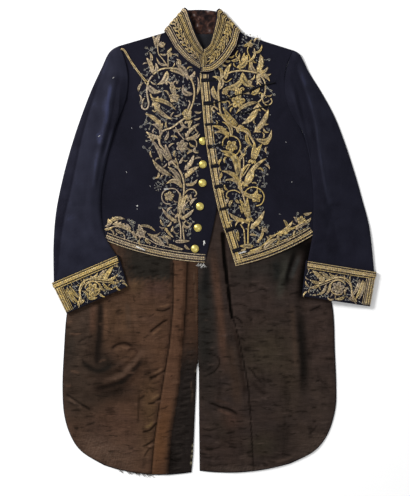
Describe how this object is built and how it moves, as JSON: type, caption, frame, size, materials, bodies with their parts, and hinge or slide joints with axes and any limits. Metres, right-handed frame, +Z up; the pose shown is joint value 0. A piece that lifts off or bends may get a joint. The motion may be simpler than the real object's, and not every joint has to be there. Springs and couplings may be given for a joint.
{
  "type": "embroidered court coat",
  "caption": "Cutaway court coat laid flat on its back, with a stand collar, turned-back cuffs, long silk-lined tails and domed buttons, its fronts embroidered.",
  "frame": {"origin": "the middle of the coat's outline, on the table it lies on", "axes": "+Z up from the table through the fronts, +Y from hem to collar, +X towards the wearer's left sleeve"},
  "size_m": [0.7577, 1.0917, 0.0183],
  "materials": {
    "broadcloth": "navy wool broadcloth, fulled, matt, with white lint",
    "silk_lining": "brown twilled silk with a soft sheen, faded in places",
    "body_lining": "black lining cloth",
    "collar_facing": "worn brown velvet",
    "gold_thread": "gold metal thread, tarnished",
    "silver_thread": "tarnished silver purl and spangles",
    "black_thread": "black silk twist",
    "button_brass": "gilt brass, slightly dulled"
  },
  "bodies": {
    "root": {"back_right": "broadcloth", "back_left": "broadcloth", "forepart_right": "broadcloth", "forepart_left": "broadcloth", "top_sleeve_right": "broadcloth", "top_sleeve_left": "broadcloth", "under_sleeve_right": "broadcloth", "under_sleeve_left": "broadcloth", "cuff_right": "broadcloth", "cuff_left": "broadcloth", "collar": "broadcloth", "collar_lining": "collar_facing", "back_lining": "body_lining", "tail_lining_right": "silk_lining", "tail_lining_left": "silk_lining", "button_1": "button_brass", "button_2": "button_brass", "button_3": "button_brass", "button_4": "button_brass", "button_5": "button_brass", "button_6": "button_brass", "shoulder_cord": "gold_thread"}
  },
  "joints": []
}
